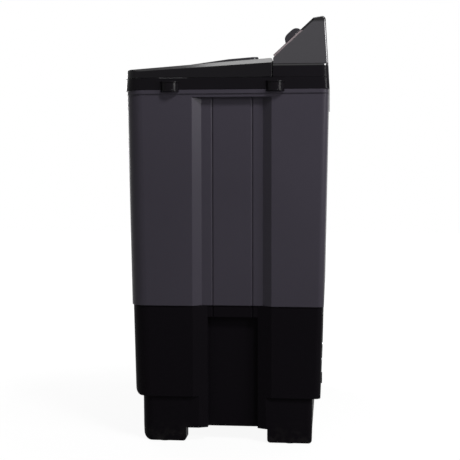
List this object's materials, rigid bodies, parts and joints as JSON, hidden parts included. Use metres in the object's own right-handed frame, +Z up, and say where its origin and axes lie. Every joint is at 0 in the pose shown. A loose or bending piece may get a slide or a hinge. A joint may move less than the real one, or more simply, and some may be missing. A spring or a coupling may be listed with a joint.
{
  "type": "semi-automatic washing machine",
  "caption": "Upright twin-tub washing machine with two hinged lids, a sloped console with knobs, a belt-driven pulsator and a spin basket braked by its lid.",
  "frame": {"origin": "on the floor, under the middle of the rim's width and depth", "axes": "+Z up, -Y to the front where the user stands, +X to the spin side"},
  "size_m": [0.768, 0.445, 0.9251],
  "materials": {
    "cabinet_plastic": "fine satin, dark grey",
    "base_plastic": "fine satin, black",
    "rim_plastic": "glossy black",
    "console_plastic": "satin grey",
    "fascia_plastic": "glossy black with a pale edge",
    "lid_plastic": "glossy black",
    "lid_glazing": "smoked clear plastic",
    "knob_plastic": "satin dark grey",
    "tub_plastic": "smooth white",
    "basket_plastic": "smooth pale blue grey",
    "rubber_black": "matt black",
    "steel": "bright",
    "motor_metal": "cast, grey",
    "wire_insulation": "matt dark grey"
  },
  "bodies": {
    "machine": {"base": "base_plastic", "foot_pads": "rubber_black", "back_cover": "base_plastic", "back_cover_screws": "steel", "cabinet": "cabinet_plastic", "top_frame": "rim_plastic", "side_bumpers": "rim_plastic", "console_fascia": "fascia_plastic", "lid_hinge_pins": "steel", "console_housing": "console_plastic", "timers": "tub_plastic", "wash_selector_switch": "tub_plastic", "drain_selector_bearing": "tub_plastic", "wash_tub": "tub_plastic", "overflow_column": "tub_plastic", "wash_gearbox": "motor_metal", "wash_shaft_seal": "rubber_black", "drive_belt": "rubber_black", "wash_motor": "motor_metal", "wash_motor_mounts": "rubber_black", "spin_tub": "tub_plastic", "spin_motor_dampers": "rubber_black", "spin_motor_plate": "steel", "spin_motor": "motor_metal", "spin_bellows": "rubber_black", "drain_valve_body": "tub_plastic", "drain_hose": "rubber_black", "drain_outlet": "tub_plastic", "spin_drain_hose": "rubber_black", "inlet_socket": "tub_plastic", "inlet_duct": "tub_plastic", "run_capacitors": "motor_metal", "wiring_loom": "wire_insulation", "brake_cable": "wire_insulation", "cord_gland": "base_plastic"},
    "wash_lid": {"wash_lid": "lid_plastic", "wash_lid_window": "lid_glazing"},
    "spin_lid": {"spin_lid": "lid_plastic", "spin_lid_window": "lid_glazing"},
    "wash_timer": {"wash_timer_knob": "knob_plastic", "wash_timer_shaft": "tub_plastic"},
    "wash_selector": {"wash_selector_knob": "knob_plastic", "wash_selector_shaft": "tub_plastic"},
    "drain_selector": {"drain_knob": "knob_plastic", "drain_shaft": "tub_plastic"},
    "spin_timer": {"spin_timer_knob": "knob_plastic", "spin_timer_shaft": "tub_plastic"},
    "drain_plug": {"drain_valve_plug": "tub_plastic"},
    "wash_rotor": {"pulsator": "tub_plastic", "pulsator_screw": "tub_plastic", "wash_shaft": "steel", "wash_pulley": "motor_metal"},
    "motor_rotor": {"motor_shaft": "steel", "motor_pulley": "motor_metal"},
    "spin_rotor": {"spin_basket": "basket_plastic", "spin_shaft": "steel", "brake_drum": "motor_metal"},
    "spin_cover": {"spin_cover": "basket_plastic"},
    "brake_lever": {"brake_lever": "steel"},
    "lint_filter": {"lint_filter": "tub_plastic"}
  },
  "joints": [
    {"name": "wash_lid_hinge", "type": "hinge", "parent": "machine", "child": "wash_lid", "pos_m": [-0.15525, 0.093, 0.8315], "axis": [-1, 0, 0], "range_deg": [0, 100]},
    {"name": "spin_lid_hinge", "type": "hinge", "parent": "machine", "child": "spin_lid", "pos_m": [0.21625, 0.093, 0.8315], "axis": [-1, 0, 0], "range_deg": [0, 100]},
    {"name": "wash_timer_turn", "type": "hinge", "parent": "machine", "child": "wash_timer", "pos_m": [-0.2085, 0.14736, 0.88573], "axis": [0, 0.673, -0.7396], "range_deg": [0, 270]},
    {"name": "wash_selector_turn", "type": "hinge", "parent": "machine", "child": "wash_selector", "pos_m": [-0.073, 0.14736, 0.88573], "axis": [0, 0.673, -0.7396], "range_deg": [-45, 45]},
    {"name": "drain_selector_turn", "type": "hinge", "parent": "machine", "child": "drain_selector", "pos_m": [0.002, 0.14736, 0.88573], "axis": [0, 0.673, -0.7396], "range_deg": [0, 90]},
    {"name": "spin_timer_turn", "type": "hinge", "parent": "machine", "child": "spin_timer", "pos_m": [0.2835, 0.14736, 0.88573], "axis": [0, 0.673, -0.7396], "range_deg": [0, 270]},
    {"name": "drain_valve_lift", "type": "slide", "parent": "machine", "child": "drain_plug", "axis": [0, 0, 1], "range_m": [0, 0.01]},
    {"name": "pulsator_spin", "type": "hinge", "parent": "machine", "child": "wash_rotor", "pos_m": [-0.148, -0.002, 0.3395], "axis": [0, 0, 1], "continuous": true},
    {"name": "wash_motor_spin", "type": "hinge", "parent": "machine", "child": "motor_rotor", "pos_m": [0.01, 0.04, 0.222], "axis": [0, 0, 1], "continuous": true},
    {"name": "spin_basket_spin", "type": "hinge", "parent": "machine", "child": "spin_rotor", "pos_m": [0.2, -0.0625, 0.354], "axis": [0, 0, 1], "continuous": true},
    {"name": "spin_cover_lift", "type": "slide", "parent": "spin_rotor", "child": "spin_cover", "axis": [0, 0, 1], "range_m": [0, 0.06]},
    {"name": "brake_lever_swing", "type": "hinge", "parent": "machine", "child": "brake_lever", "pos_m": [0.13, 0.0035, 0.222], "axis": [0, 0, -1], "range_deg": [0, 3.7]},
    {"name": "lint_filter_lift", "type": "slide", "parent": "machine", "child": "lint_filter", "axis": [0, 0, 1], "range_m": [0, 0.06]}
  ],
  "couplings": [
    {"joint": "drain_valve_lift", "follows": "drain_selector_turn", "m_per_rad": 0.0063},
    {"joint": "wash_motor_spin", "follows": "pulsator_spin", "ratio": 3},
    {"joint": "brake_lever_swing", "follows": "spin_lid_hinge", "ratio": 0.03696}
  ]
}
